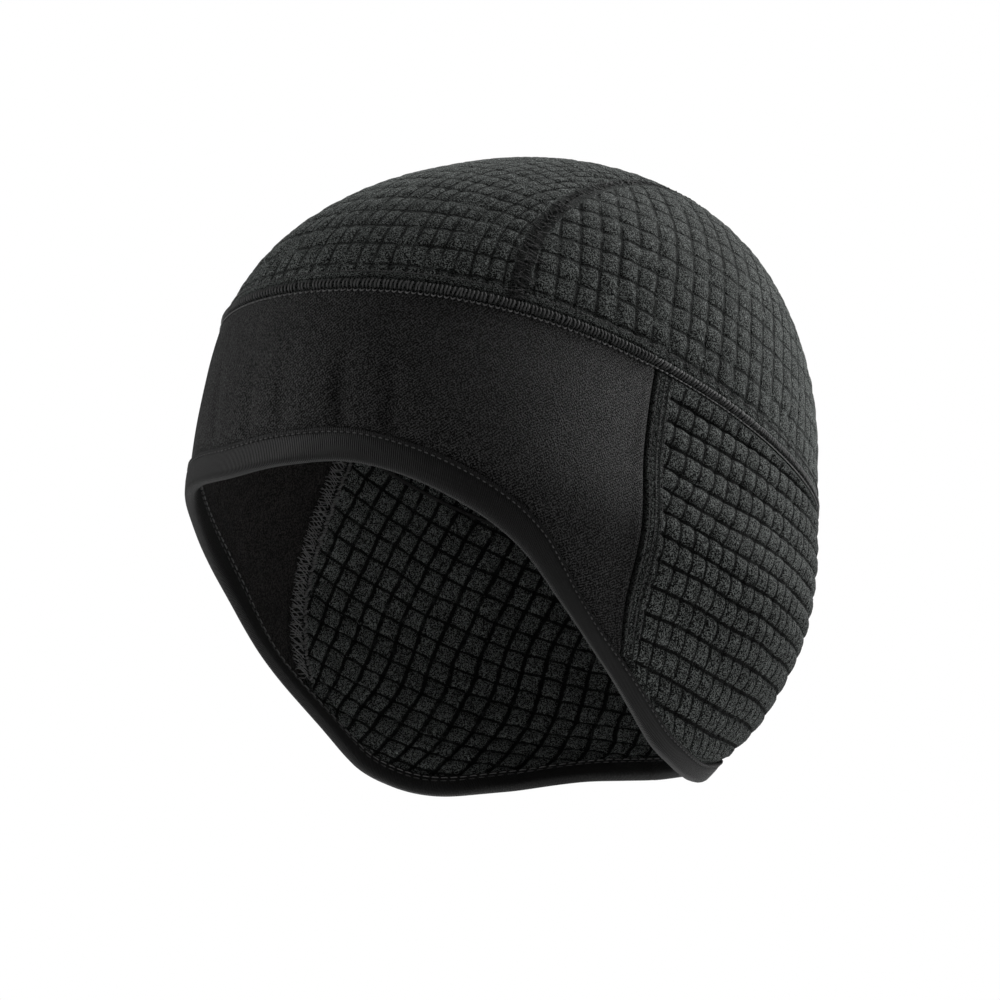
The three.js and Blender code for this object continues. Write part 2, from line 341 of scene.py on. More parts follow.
def mesh_piece(name, points, faces, uv, flat, materials, slots=None):
    """Mesh object of quads, turned outwards, with cloth coordinates and a share of plain cloth a point, which
    past 1 carries painted shade.
    """
    corners = points[faces]
    areas = np.cross(corners[:, 2] - corners[:, 0], corners[:, 3] - corners[:, 1])
    if (areas * corners.mean(1)).sum() < 0:
        faces = faces[:, ::-1]
    mesh = bpy.data.meshes.new(name)
    mesh.vertices.add(len(points))
    mesh.vertices.foreach_set("co", points.astype(np.float32).ravel())
    mesh.loops.add(faces.size)
    mesh.loops.foreach_set("vertex_index", faces.astype(np.int32).ravel())
    mesh.polygons.add(len(faces))
    mesh.polygons.foreach_set("loop_start", np.arange(0, faces.size, 4, dtype=np.int32))
    mesh.polygons.foreach_set("use_smooth", np.ones(len(faces), bool))
    for material in materials:
        mesh.materials.append(material)
    if slots is not None:
        mesh.polygons.foreach_set("material_index", slots.astype(np.int32))
    mesh.update(calc_edges=True)
    layer = mesh.uv_layers.new(name="fabric")
    layer.data.foreach_set("uv", uv[faces.ravel()].astype(np.float32).ravel())
    plain = mesh.attributes.new("plain", "FLOAT", "POINT")
    plain.data.foreach_set("value", flat.astype(np.float32))
    mesh.validate()
    piece = bpy.data.objects.new(name, mesh)
    bpy.context.scene.collection.objects.link(piece)
    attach(piece, "root")
    return piece


def threads(name, paths, normals, radius, material, flatness=1.0, closed=False):
    """Many short threads of one count of points as one piece. Their ends are rounded off and shut."""
    paths, normals = np.asarray(paths), np.asarray(normals)
    count, size = paths.shape[:2]
    if closed:
        tangent = unit(np.roll(paths, -1, 1) - np.roll(paths, 1, 1))
    else:
        tangent = unit(np.gradient(paths, axis=1))
    beside = unit(np.cross(tangent, normals))
    above = np.cross(beside, tangent)
    turn = TAU * np.arange(THREAD_SIDES) / THREAD_SIDES
    thick = np.ones(size)
    if not closed:
        thick[[0, -1]] = THREAD_END
    ring = np.cos(turn)[:, None] * beside[:, :, None] + flatness * np.sin(turn)[:, None] * above[:, :, None]
    points = paths[:, :, None] + radius * thick[None, :, None, None] * ring
    index = np.arange(count * size * THREAD_SIDES).reshape(count, size, THREAD_SIDES)
    first, second = (index, np.roll(index, -1, 1)) if closed else (index[:, :-1], index[:, 1:])
    walls = np.stack([first, np.roll(first, -1, 2), np.roll(second, -1, 2), second], -1).reshape(-1, 4)
    faces = [walls]
    if not closed:
        for end, way in ((0, -1), (-1, 1)):
            e = index[:, end, :][:, ::way]
            faces += [e[:, [0, 1, 2, 3]], e[:, [0, 3, 4, 5]]]
    faces = np.concatenate(faces)
    run = along(paths, 1)
    uv = np.stack(np.broadcast_arrays(run[:, :, None], turn * radius), -1)
    return mesh_piece(name, points.reshape(-1, 3), faces, uv.reshape(-1, 2), np.zeros(index.size), [material])


# Materials


class Nodes:
    """Short hand for a material's nodes."""

    def __init__(self, name):
        self.material = bpy.data.materials.new(name)
        self.material.use_nodes = True
        self.tree = self.material.node_tree
        self.shader = self.tree.nodes["Principled BSDF"]

    def link(self, value, socket):
        if isinstance(value, bpy.types.NodeSocket):
            self.tree.links.new(value, socket)
        else:
            socket.default_value = value

    def math(self, operation, a, b=0.0, c=0.0):
        node = self.tree.nodes.new("ShaderNodeMath")
        node.operation = operation
        for value, socket in zip((a, b, c), node.inputs):
            self.link(value, socket)
        return node.outputs[0]

    def fabric(self):
        uv = self.tree.nodes.new("ShaderNodeUVMap")
        uv.uv_map = "fabric"
        parts = self.tree.nodes.new("ShaderNodeSeparateXYZ")
        self.tree.links.new(uv.outputs[0], parts.inputs[0])
        return parts.outputs[0], parts.outputs[1]

    def plain(self):
        node = self.tree.nodes.new("ShaderNodeAttribute")
        node.attribute_name = "plain"
        return node.outputs["Fac"]

    def noise(self, scale, detail=2.0, roughness=0.6):
        place = self.tree.nodes.new("ShaderNodeTexCoord").outputs["Object"]
        node = self.tree.nodes.new("ShaderNodeTexNoise")
        node.inputs["Scale"].default_value = scale
        node.inputs["Detail"].default_value = detail
        node.inputs["Roughness"].default_value = roughness
        self.tree.links.new(place, node.inputs["Vector"])
        return node.outputs["Fac"]

    def ramp(self, value, low, high, out_low=0.0, out_high=1.0):
        node = self.tree.nodes.new("ShaderNodeMapRange")
        node.interpolation_type = "SMOOTHSTEP"
        for socket, given in zip(node.inputs, (value, low, high, out_low, out_high)):
            self.link(given, socket)
        return node.outputs[0]

    def mix(self, share, a, b):
        node = self.tree.nodes.new("ShaderNodeMix")
        node.data_type = "RGBA"
        self.link(share, node.inputs[0])
        self.link(a, node.inputs[6])
        self.link(b, node.inputs[7])
        return node.outputs[2]

    def bump(self, height, distance, under=None):
        node = self.tree.nodes.new("ShaderNodeBump")
        node.inputs["Strength"].default_value = 1.0
        node.inputs["Distance"].default_value = distance
        self.link(height, node.inputs["Height"])
        if under is not None:
            self.tree.links.new(under, node.inputs["Normal"])
        return node.outputs[0]

    def finish(self, colour, bumps, roughness, sheen, sheen_rough, tint, specular):
        self.link(colour, self.shader.inputs["Base Color"])
        self.link(roughness, self.shader.inputs["Roughness"])
        self.tree.links.new(bumps, self.shader.inputs["Normal"])
        self.shader.inputs["Sheen Weight"].default_value = sheen
        self.shader.inputs["Sheen Roughness"].default_value = sheen_rough
        self.shader.inputs["Sheen Tint"].default_value = tint
        self.shader.inputs["Specular IOR Level"].default_value = specular
        return self.material


def grey(value, tint=(1.0, 1.0, 1.0)):
    return tuple(value * part for part in tint) + (1.0,)


# Green grey of the fleece, and the colour of the brushed jersey
FLEECE_TINT = (0.93, 1.0, 0.965)
BRUSHED_TINT = (0.026, 0.0235, 0.0225, 1)

# Scales of the fleece's noise: its lines' wander, patches that hide them, fibres, clumps and slow drift
WANDER_SCALE = 520
PATCH_SCALE = 170
FIBRE_SCALE = 2500
CLUMP_SCALE = 800
DRIFT_SCALE = 60

# How far the fleece's lines wander, and the depths of its lines and its pile for the bump
LINE_WANDER = 1.0 * MM
LINE_BUMP = 0.7 * MM
PILE_BUMP = 0.5 * MM

# Pitches of the jersey's two slanting ribs, of the tape's ribs and of a thread's twist
JERSEY_RIB = 0.85 * MM
JERSEY_CROSS_RIB = 0.6 * MM
TAPE_RIB = 0.55 * MM
THREAD_TWIST = 0.4 * MM


def fleece_material(name, floors, widths, broken, grain, bright, dark, sheen):
    """Brushed waffle fleece: cells of short pile, with painted shade darkening the pressed lines between
    them.

    floors and widths say how light the painted shade in each line is and how wide the line is, broken how
    much of it the pile hides, and grain how uneven the pile is.
    """
    n = Nodes(name)
    s, t = n.fabric()
    wander = n.math("MULTIPLY", n.math("SUBTRACT", n.noise(WANDER_SCALE, 2), 0.5), LINE_WANDER)
    hidden = n.ramp(n.noise(PATCH_SCALE, 2), 0.5, 0.66, 0.0, broken)
    cells = []
    # The lines' dark colour is painted shade of the grooves, which the mesh is too coarse to hold.
    for at, cell, floor, width in zip((s, t), CELL, floors, widths):
        distance = n.math("ABSOLUTE", n.math("ADD", n.math("PINGPONG", at, cell / 2), wander))
        cells.append(n.math("MAXIMUM", n.ramp(distance, 0.3 * width * MM, width * MM, floor, 1.0), hidden))
    cell = n.math("MULTIPLY", *cells)
    cell = n.math("MAXIMUM", cell, n.math("MINIMUM", n.plain(), 1.0))
    # Past 1 the plain attribute carries painted shade, which darkens the cloth here.
    painted_shade = n.ramp(n.plain(), 1.0, 2.0, 1.0, 0.12)
    fibres = n.math("MULTIPLY", n.noise(FIBRE_SCALE, 1, 0.7), 0.8)
    clumps = n.math("MULTIPLY", n.noise(CLUMP_SCALE, 2, 0.6), 0.2)
    drift = n.noise(DRIFT_SCALE, 2)
    pile = n.math("POWER", n.ramp(n.math("ADD", fibres, clumps), 0.42, 0.6), grain)
    shade = n.math("MULTIPLY", n.ramp(cell, 0.0, 1.0, 0.03, 1.0), n.ramp(pile, 0.0, 1.0, 0.02, 1.0))
    shade = n.math("MULTIPLY", shade, n.ramp(drift, 0.3, 0.7, 0.85, 1.15))
    shade = n.math("MULTIPLY", shade, painted_shade)
    colour = n.mix(shade, grey(dark, FLEECE_TINT), grey(bright, FLEECE_TINT))
    low = n.bump(cell, LINE_BUMP)
    high = n.bump(pile, PILE_BUMP, low)
    return n.finish(colour, high, 0.95, sheen, 0.4, grey(0.75, FLEECE_TINT), 0.06)


def jersey_material(name):
    """Smooth face with a fine slanting rib."""
    n = Nodes(name)
    s, t = n.fabric()
    slant = n.math("ADD", n.math("MULTIPLY", s, 0.8), n.math("MULTIPLY", t, 0.6))
    rib = n.math("SINE", n.math("MULTIPLY", slant, TAU / JERSEY_RIB))
    other = n.math("ADD", n.math("MULTIPLY", s, -0.7), n.math("MULTIPLY", t, 0.7))
    cross = n.math("SINE", n.math("MULTIPLY", other, TAU / JERSEY_CROSS_RIB))
    weave = n.math("ADD", rib, n.math("MULTIPLY", cross, 0.5))
    yarn = n.noise(2600, 1, 0.7)
    weave = n.math("ADD", weave, n.math("MULTIPLY", n.math("SUBTRACT", yarn, 0.5), 17.0))
    drift = n.noise(45, 3)
    shade = n.math("POWER", n.ramp(weave, -2.2, 2.2, 0.03, 1.0), 2.0)
    shade = n.math("MULTIPLY", shade, n.ramp(drift, 0.3, 0.7, 0.88, 1.12))
    colour = n.mix(shade, grey(0.0005), grey(0.055))
    return n.finish(colour, n.bump(weave, 0.08 * MM), 0.6, 0.03, 0.3, grey(0.6), 0.06)


def brushed_material(name):
    """Inside of the jersey: dark brushed pile."""
    n = Nodes(name)
    fuzz = n.noise(1600, 2, 0.75)
    drift = n.noise(80, 3)
    shade = n.math("MULTIPLY", n.ramp(fuzz, 0.46, 0.58), n.ramp(drift, 0.3, 0.7, 0.8, 1.1))
    colour = n.mix(shade, grey(0.0005), BRUSHED_TINT)
    return n.finish(colour, n.bump(fuzz, PILE_BUMP), 0.95, 0.1, 0.5, grey(0.5), 0.1)


def tape_material(name):
    """Binding tape with fine ribs across it."""
    n = Nodes(name)
    s = n.fabric()[0]
    rib = n.math("SINE", n.math("MULTIPLY", s, TAU / TAPE_RIB))
    yarn = n.noise(2200, 2, 0.7)
    weave = n.math("ADD", rib, n.math("MULTIPLY", n.math("SUBTRACT", yarn, 0.5), 1.6))
    shade = n.ramp(weave, -1.4, 1.4, 0.25, 1.0)
    colour = n.mix(shade, grey(0.001), grey(0.010))
    return n.finish(colour, n.bump(weave, 0.12 * MM), 0.55, 0.05, 0.3, grey(0.6), 0.12)


def thread_material(name, bright, dark):
    """Twisted sewing thread."""
    n = Nodes(name)
    s, t = n.fabric()
    ply = n.math("SINE", n.math("MULTIPLY", n.math("ADD", s, t), TAU / THREAD_TWIST))
    wear = n.noise(900, 2)
    shade = n.math("MULTIPLY", n.ramp(ply, -1.0, 1.0, 0.55, 1.0), n.ramp(wear, 0.3, 0.7, 0.6, 1.1))
    colour = n.mix(shade, grey(dark), grey(bright))
    return n.finish(colour, n.bump(ply, 0.05 * MM), 0.6, 0.05, 0.4, grey(0.6), 0.2)


fleece_outside = fleece_material(
    "fleece_outside", floors=(0.15, 0.0), widths=(0.7, 0.8), broken=0.25, grain=1.3,
    bright=0.145, dark=0.0005, sheen=0.03,
)
fleece_crown = fleece_material(
    "fleece_crown", floors=(0.0, 0.05), widths=(0.75, 0.7), broken=0.85, grain=2.0,
    bright=0.16, dark=0.0005, sheen=0.18,
)
# The inner face is painted lighter than the outer ones: painted light, for the light that reaches into the
# hollow.
fleece_inside = fleece_material(
    "fleece_inside", floors=(0.0, 0.1), widths=(0.95, 0.75), broken=0.3, grain=1.2,
    bright=0.2, dark=0.0006, sheen=0.03,
)
jersey_face = jersey_material("jersey_face")
jersey_back = brushed_material("jersey_back")
tape_ribbed = tape_material("tape_ribbed")
thread_light = thread_material("thread_light", 0.075, 0.008)
thread_bright = thread_material("thread_bright", 0.2, 0.02)
thread_dark = thread_material("thread_dark", 0.02, 0.002)


# Crown


def crown_spot(heading):
    """Angle and turn of a heading, whose level headings land on the crown seam."""
    angle = np.arctan2(heading[..., 0], -heading[..., 1])
    plain = np.arccos(np.clip(heading[..., 2] / length(heading), -1, 1))
    seam_turn = turn_of(seam_height(angle))
    return angle, plain + (seam_turn - np.pi / 2) * np.sin(plain) ** SEAM_FADE


# Half gaps at the crown seam and at the other seams, as angles
SEAM_GAP = CLEARANCE / 2 / CROWN_HEIGHT
PANEL_GAP = CLEARANCE / 2 / HALF_WIDTH

# Mean radius of the crown, which turns an angle over it into a length
CROWN_RADIUS = 86 * MM


def leaning_heading(lean, over):
    upright = np.sqrt(1 - lean * lean)
    start = np.arcsin(SEAM_GAP / upright)
    kept = np.clip(over, start, np.pi - start)
    return np.stack([lean, -upright * np.cos(kept), upright * np.sin(kept)], -1)


def panel_seam_heading(over, gap):
    return leaning_heading(seam_lean(np.degrees(over)) + gap, over)


def above_seam(angle, turn):
    """Distance up from the crown seam, along the skin."""
    down_to = turn_of(seam_height(angle))
    points = [skin(angle, turn + (down_to - turn) * k / LEGS) for k in range(LEGS + 1)]
    return sum(length(b - a) for a, b in zip(points, points[1:]))


def beside_panel_seam(heading):
    """Distance from the seam between the crown's panels, along the skin."""
    heading = unit(heading)
    over = np.arctan2(heading[..., 2], -heading[..., 1])
    lean = np.abs(heading[..., 0])
    limit = seam_lean(np.degrees(over))
    slant = (seam_lean(np.degrees(over) + 1) - seam_lean(np.degrees(over) - 1)) / np.radians(2)
    width = np.abs(np.arcsin(np.clip(lean, 0, 1)) - np.arcsin(limit)) * CROWN_RADIUS
    return width / np.hypot(1, slant / np.maximum(1 - limit * limit, 0.1))


# Lift of the crown beside its seam with the panels below, against the distance up from it
STRIP_AT = np.array([0, 0.35, 0.8, 1.6, 2.4, 2.9, 3.3, 3.8, 5.0, 5.5, 6.0, 6.8, 8.0]) * MM
STRIP_LIFT = np.array([-1.1, -0.7, 0.1, 0.35, 0.1, -0.35, -0.4, -0.1, -0.1, -0.35, -0.5, -0.1, 0]) * MM


def at_side(angle):
    """0 over the forehead band and 1 over the ears and nape."""
    return rise(np.abs(angle), SIDE_SEAM_TOP - 0.06, SIDE_SEAM_TOP + 0.02)


def past_ear(angle):
    """0 in front of the ears and 1 behind them, where the crown seam lies flatter."""
    return rise(np.abs(angle), np.radians(95), np.radians(108))


def crown_lift(heading, angle, turn, s, t, seed):
    """Lift of a crown panel's outer face, and its share of plain cloth: past 1 it carries painted shade as
    well.
    """
    up = above_seam(angle, turn)
    beside = beside_panel_seam(heading)
    strip_top = CROWN_STRIP - CROWN_STRIP_NARROWS * at_side(angle)
    plain = 1 - rise(up, strip_top, strip_top + 1 * MM) * rise(beside, PANEL_STRIP, PANEL_STRIP + 0.8 * MM)
    strip = np.interp(up, STRIP_AT, STRIP_LIFT)
    strip = np.where(strip > 0, strip * (1 - past_ear(angle)), strip)
    strip = strip * (1 - 0.6 * past_ear(angle) * rise(up, 1 * MM, 2 * MM))
    lift = waffle(s, t, CROWN_LINES, seed) * (1 - plain) + strip
    beside_strip = 1 - rise(beside, 0.8 * PANEL_STRIP, 1.6 * PANEL_STRIP)
    lift = lift - 0.35 * MM * beside_strip * rise(up, 2 * MM, 5 * MM)
    lift = lift + 0.5 * MM * field(s, t, 34 * MM, seed + 5) * rise(up, 4 * MM, 20 * MM)
    # dark is painted shade: in the recessed strip beside the panel seam, in the grooves of the seam's strip
    # at 3.6 and 6 mm up, and over its low edge under the ladder stitches. The whole strip below its top is a
    # little darker as well.
    ragged = beside + 0.5 * MM * field(s, t, 2.5 * MM, seed + 6)
    dark = 1 - rise(ragged, 0.9 * PANEL_STRIP, 1.35 * PANEL_STRIP)
    lines = 0.9 * near(up - 3.6 * MM, 0.5 * MM) + 0.8 * near(up - 6 * MM, 0.5 * MM) * (1 - at_side(angle))
    dark = np.maximum(dark, np.maximum(lines, 0.9 * (1 - rise(up, 2.8 * MM, 3.4 * MM))))
    dark = np.maximum(dark, 0.4 * (1 - rise(up, strip_top - 1 * MM, strip_top)))
    return lift, np.maximum(plain + dark * plain, 2 * dark * (up < 4.5 * MM))


def inner_lift(s, t, away, seed):
    """Lift of the fleece's inner face: waffle too, away from the seams that are sewn flat."""
    return -FLEECE_WALL - waffle(s, t, INSIDE_LINES, seed) * away, 1 - away


def crown_piece(name, node, heading, s, t, cell, seed):
    angle, turn = crown_spot(heading)
    spread = 0.5 * MM
    s = s + spread * field(s, t, 14 * MM, seed + 7)
    t = t + spread * field(s, t, 14 * MM, seed + 8)
    s, t = in_cells(s, t, cell)
    lift, plain = crown_lift(heading, angle, turn, s, t, seed)
    deep, plain_in = inner_lift(s, t, rise(beside_panel_seam(heading), 2 * MM, 4 * MM), seed + 3)
    deep = np.minimum(deep, lift - 0.9 * MM)
    fabric = np.stack([s, t], -1)
    outer, inner = lifted(angle, turn, lift), lifted(angle, turn, deep)
    piece = cloth(name, outer, inner, (fabric, fabric), (plain, plain_in), [fleece_crown, fleece_inside])
    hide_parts(node)
    return piece


# The centre panel's rows follow the crown seam in front and lie square to its middle from here on
ROWS_SQUARE_FROM = np.radians(65)


def crown_centre():
    across, length_share = [shares(size) for size in CENTRE_SIZE]
    over = (np.pi * length_share)[None, :]
    lean = (seam_lean(np.degrees(over)) - PANEL_GAP) * (2 * across - 1)[:, None]
    heading = leaning_heading(lean, over + 0 * lean)
    grid = skin(*crown_spot(heading))
    s = along(grid, 0)
    s = s - np.take_along_axis(s, np.full((1, s.shape[1]), len(across) // 2), 0)
    t = along(grid, 1)
    middle = t[len(across) // 2][None, :]
    t = t + (middle - t) * np.minimum(over / ROWS_SQUARE_FROM, 1)
    s = s * (1 + 0.3 * (rise(middle, -20 * MM, 75 * MM) - rise(middle, 90 * MM, 180 * MM)))
    return crown_piece("crown_centre_fleece", "crown_centre_panel", heading, s, t, CENTRE_CELL, 11)


def crown_side(name, node, side, seed):
    """Side panel, blended from its borders: the crown seam below and three stretches of the panel seam."""
    u = shares(SIDE_SIZE[0])[:, None]
    v = shares(SIDE_SIZE[1])[None, :]
    fore_corner, rear_corner = [panel_seam_heading(np.array(a), PANEL_GAP) for a in (0.0, np.pi)]
    angles = [np.arctan2(h[0], -h[1]) for h in (fore_corner, rear_corner)]

    def bottom(share):
        angle = angles[0] + (angles[1] - angles[0]) * share
        return np.stack([np.sin(angle), -np.cos(angle), np.full_like(angle, SEAM_GAP)], -1)

    def top(share):
        return panel_seam_heading(UP_TO + (np.pi - 2 * UP_TO) * share, PANEL_GAP)

    def fore(share):
        return panel_seam_heading(UP_TO * share, PANEL_GAP)

    def rear(share):
        return panel_seam_heading(np.pi - UP_TO * share, PANEL_GAP)

    def blend(a, b, share):
        return a + (b - a) * share[..., None]

    zero, one = np.zeros((1, 1)), np.ones((1, 1))
    upright = blend(bottom(u), top(u), v)
    sideways = blend(fore(v), rear(v), u)
    corners = blend(blend(bottom(zero), bottom(one), u), blend(top(zero), top(one), u), v)
    heading = upright + sideways - corners
    angle, turn = crown_spot(heading)
    t = above_seam(angle, turn)
    level = [skin(np.pi / 2 + (angle - np.pi / 2) * k / LEGS, turn) for k in range(LEGS + 1)]
    s = sum(length(b - a) for a, b in zip(level, level[1:])) * np.sign(angle - np.pi / 2)
    heading = heading * np.array([side, 1, 1])
    return crown_piece(name, node, heading, s, t, SIDE_CELL, seed)


# Pieces below the crown seam


def side_seam(fall):
    """Side seam's angle at a share of the way down."""
    return SIDE_SEAM_TOP + (SIDE_SEAM_BOTTOM - SIDE_SEAM_TOP) * fall - SIDE_SEAM_BOW * np.sin(np.pi * fall)


def lower_grid(start, end, size, rows):
    """Angles, turns, points and distances from the bottom edge for a panel between two borders."""
    across = shares(size)[:, None]
    fall = rows[None, :]
    angle = start(fall) + (end(fall) - start(fall)) * across
    top = seam_height(angle) - CLEARANCE / 2
    stretch = edge_stretch(angle)
    bottom = edge_height(angle) + (TAPE_WALL + CLEARANCE) * stretch
    height = top + (bottom - top) * fall
    up = (height - edge_height(angle)) / stretch / tape_share(angle)
    turn = turn_of(height)
    grid = skin(angle, turn)
    return angle, turn, grid, up


def pressed(lift, deep, up):
    """Presses the cloth flat inside the tape."""
    share = 1 - rise(up, TAPE_WIDTH - 0.4 * MM, TAPE_WIDTH + 3 * MM)
    inside = -(TAPE_WALL - TAPE_PROUD + CLEARANCE)
    return lift + (inside - lift) * share, deep + (inside - PRESSED_WALL - deep) * share


def outside_grid(side, t):
    """Cloth coordinates of the ear and nape piece outside: rows rise, and columns lean to the nape."""
    sag = 1.3 * MM * near(side - 26 * MM, 14 * MM) * near(t - 32 * MM, 12 * MM)
    rows = t + 7 * MM * rise(side, 8 * MM, 130 * MM) + 0.02 * side * rise(t, 40 * MM, 60 * MM) - sag
    lean = np.interp(t, np.array([0, 27, 42]) * MM, np.array([0, 3.5, 9.5]) * MM)
    columns = side + lean * (1 - rise(side, 90 * MM, 160 * MM))
    return in_cells(columns, rows, EAR_CELL)


def inside_grid(side, t):
    """Cloth coordinates of the inner face: its columns lean more and more on the way down."""
    lean = 0.08 * t + 19 * MM * (t / (85 * MM)) ** 4
    columns = side + lean * (1 - rise(side, 120 * MM, 195 * MM)) - 5 * MM
    rows = t - 0.05 * side - 4 * MM * (np.minimum(side, 125 * MM) / (100 * MM)) ** 3 - 4.5 * MM
    return in_cells(columns, rows, INSIDE_CELL)


def ear_and_nape():
    def start(fall):
        return side_seam(fall) + PANEL_GAP

    def end(fall):
        return TAU - start(fall)

    rows = shares(EAR_SIZE[1], fine_end=False)
    angle, turn, grid, up = lower_grid(start, end, EAR_SIZE[0], rows)
    run = along(grid, 0)
    s = np.minimum(run, run[-1:] - run)
    t = along(grid, 1)
    side = s
    s, t_out = outside_grid(side, t)
    s = s + 0.4 * MM * field(run, t, 14 * MM, 51)
    t_out = t_out + 0.4 * MM * field(run, t, 16 * MM, 52)
    away = rise(side, SIDE_STRIP, SIDE_STRIP + 1.6 * MM) * rise(t, 1.4 * MM, 3 * MM)
    away = away * rise(up, TAPE_WIDTH + 0.2 * MM, TAPE_WIDTH + 2.4 * MM)
    lift = waffle(s, t_out, EAR_LINES, 53) * away - 0.9 * MM * near(t, 0.8 * MM)
    lift = lift - 0.2 * MM * (1 - rise(side, SIDE_STRIP - 1 * MM, SIDE_STRIP))
    lift = lift - 0.4 * MM * near(side, 0.6 * MM)
    lift = lift - 0.35 * MM * near(side - SIDE_STRIP - 0.4 * MM, 0.7 * MM)
    # dark is painted shade in the grooves at the side strip's edges and along its sewn rows, and a painted
    # shadow in the fold above the tape. The strip as a whole is darker as well.
    edge_groove_shade = near(side - 0.3 * MM, 0.5 * MM) + near(side - SIDE_STRIP, 0.6 * MM)
    sewn_row_shade = near(side - 1.9 * MM, 0.3 * MM) + near(side - 3.5 * MM, 0.3 * MM)
    strip = 1 - rise(side, SIDE_STRIP - 0.5 * MM, SIDE_STRIP)
    dark = 0.9 * edge_groove_shade + 0.5 * sewn_row_shade + 0.3 * strip + 0.9 * near(up - TAPE_WIDTH - 0.6 * MM, 0.7 * MM)
    dark = np.minimum(dark, 1)
    lift = lift + 0.6 * MM * field(run, t, 38 * MM, 54) * rise(t, 2 * MM, 20 * MM)
    s_in, t_in = inside_grid(side, t)
    s_in = s_in + 0.6 * MM * field(run, t, 15 * MM, 56)
    t_in = t_in + 0.6 * MM * field(run, t, 13 * MM, 57)
    deep, plain_in = inner_lift(s_in, t_in, rise(side, 2.5 * MM, 4.5 * MM), 55)
    lift, deep = pressed(lift, deep, up)
    fabric = np.stack([s, t_out], -1)
    fabric_in = np.stack([s_in, t_in], -1)
    outer, inner = lifted(angle, turn, lift), lifted(angle, turn, deep)
    # Past 1 this is painted shade on the inner face beside the side seam, under the overlocked edge.
    plain_in = plain_in + 0.8 * (1 - rise(side, 2.5 * MM, 3.5 * MM))
    pieces = (fabric, fabric_in), (1 - away + dark * (1 - away), plain_in), [fleece_outside, fleece_inside]
    piece = cloth("ear_and_nape_fleece", outer, inner, *pieces)
    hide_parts("ear_and_nape_panel")
    return piece


# Soft dents of the jersey above the tape: angle in degrees, half width in degrees, depth in millimetres
DENTS = np.array([
    (35.0, 1.6, 1.5),
    (26.0, 1.4, 1.3),
    (14.0, 2.0, 0.7),
    (6.0, 1.6, 0.8),
    (-6.0, 1.8, 0.7),
    (-22.0, 2.4, 0.6),
])


def forehead():
    def end(fall):
        return side_seam(fall) - PANEL_GAP

    def start(fall):
        return -end(fall)

    rows = shares(BAND_SIZE[1], 1.2 * MM, fine_end=False)
    angle, turn, grid, up = lower_grid(start, end, BAND_SIZE[0], rows)
    run = along(grid, 0)
    s, t = run, along(grid, 1)
    side = np.minimum(run, run[-1:] - run)
    lift = -0.9 * MM * near(t, 0.7 * MM) - 0.5 * MM * near(side, 0.35 * MM)
    lift = lift + 0.25 * MM * near(side - 1.5 * MM, 1.5 * MM)
    low = near(up - 16 * MM, 12 * MM)
    for at, width, depth in DENTS:
        lift = lift - depth * MM * near(np.degrees(angle) - at, width) * low
    lift = lift + 0.45 * MM * field(s, t, 40 * MM, 31)
    deep = lift - JERSEY_WALL + 0.15 * MM * field(s, t, 3 * MM, 33)
    lift, deep = pressed(lift, deep, up)
    fabric = np.stack([s, t], -1)
    outer, inner = lifted(angle, turn, lift), lifted(angle, turn, deep)
    flat = np.zeros_like(s)
    piece = cloth("forehead_jersey", outer, inner, (fabric, fabric), (flat, flat), [jersey_face, jersey_back])
    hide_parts("forehead_band")
    return piece


# Tape over the bottom edge: distance in from the edge and lift, round from the top of its outer leg
TAPE_SECTION = np.array([
    (8.5, 0.15),
    (8.1, 0.42),
    (7.6, 0.3),
    (7.2, 0.12),
    (6.7, 0.34),
    (5.6, 0.5),
    (4.0, 0.56),
    (2.4, 0.5),
    (1.2, 0.4),
    (0.5, 0.05),
    (0.1, -0.5),
    (0.0, -1.4),
    (0.1, -2.3),
    (0.5, -2.85),
    (1.2, -3.2),
    (2.6, -3.35),
    (4.4, -3.35),
    (6.2, -3.3),
    (7.3, -3.1),
    (7.8, -3.3),
    (8.3, -3.2),
    (8.5, -2.8),
    (8.4, -2.45),
    (4.5, -2.4),
    (1.0, -2.4),
    (1.0, -0.4),
    (4.5, -0.4),
    (8.4, -0.35),
]) * MM


def even_angles(height_at, step):
    """Even angles round the line at a height, and the step between them."""
    angle = np.linspace(-np.pi, np.pi, 4001)
    run = along(skin(angle, turn_of(height_at(angle))), 0)
    count = int(round(run[-1] / step))
    return np.interp(np.arange(count) * run[-1] / count, run, angle), run[-1] / count


def edge_points(angle, up, lift):
    """Points at a distance in from the bottom edge, lifted off the skin."""
    angle, up, lift = np.broadcast_arrays(angle, up * tape_share(angle), lift)
    return lifted(angle, turn_of(edge_height(angle) + up * edge_stretch(angle)), lift)


def edge_normals(angle, up):
    angle, up = np.broadcast_arrays(angle, up * tape_share(angle))
    return turned(normal(angle, turn_of(edge_height(angle) + up * edge_stretch(angle))))


def binding():
    angle, step = even_angles(edge_height, 0.9 * MM)
    up, lift = TAPE_SECTION[:, 0], TAPE_SECTION[:, 1]
    run = np.arange(len(angle)) * step
    wobble = 0.12 * MM * field(run[:, None], up[None, :], 11 * MM, 71)
    points = edge_points(angle[:, None], up[None, :], lift[None, :] + wobble)
    n, m = points.shape[:2]
    index = np.arange(n * m).reshape(n, m)
    after, beside = np.roll(index, -1, 0), np.roll(index, -1, 1)
    faces = np.stack([index, after, np.roll(after, -1, 1), beside], -1).reshape(-1, 4)
    across = along(TAPE_SECTION, 0)
    uv = np.stack(np.broadcast_arrays(run[:, None], across[None, :]), -1).reshape(-1, 2)
    flat = np.zeros(n * m)
    piece = mesh_piece("edge_binding_tape", points.reshape(-1, 3), faces, uv, flat, [tape_ribbed])
    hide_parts("edge_binding")
    return piece


